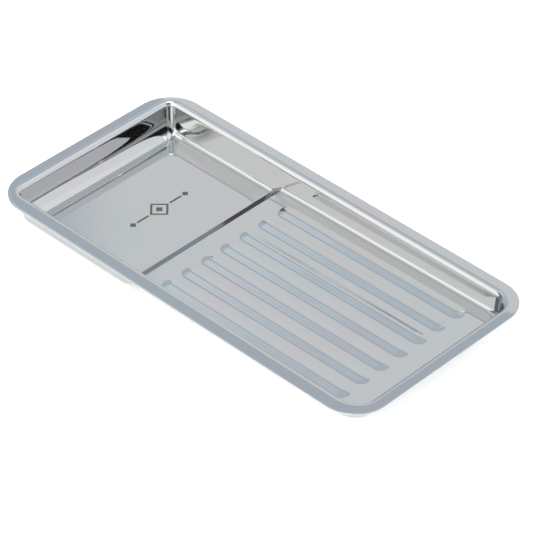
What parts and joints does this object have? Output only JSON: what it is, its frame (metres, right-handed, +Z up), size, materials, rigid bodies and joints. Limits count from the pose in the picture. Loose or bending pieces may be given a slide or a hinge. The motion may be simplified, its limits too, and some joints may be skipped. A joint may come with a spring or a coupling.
{
  "type": "instrument tray",
  "caption": "Pressed polished steel instrument tray with a drooping flange, a plain well at one end and a stepped-up deck with lengthwise raised ribs.",
  "frame": {"origin": "below the middle of the tray's outline, in the plane of the well's flat underside", "axes": "+X lengthwise from the well end to the deck end, +Y across the tray, +Z up out of its mouth"},
  "size_m": [0.2, 0.1, 0.0148],
  "materials": {
    "polished_steel": "mirror-polished stainless steel with fine handling scratches"
  },
  "bodies": {
    "root": {"pressed_tray": "polished_steel"}
  },
  "joints": []
}
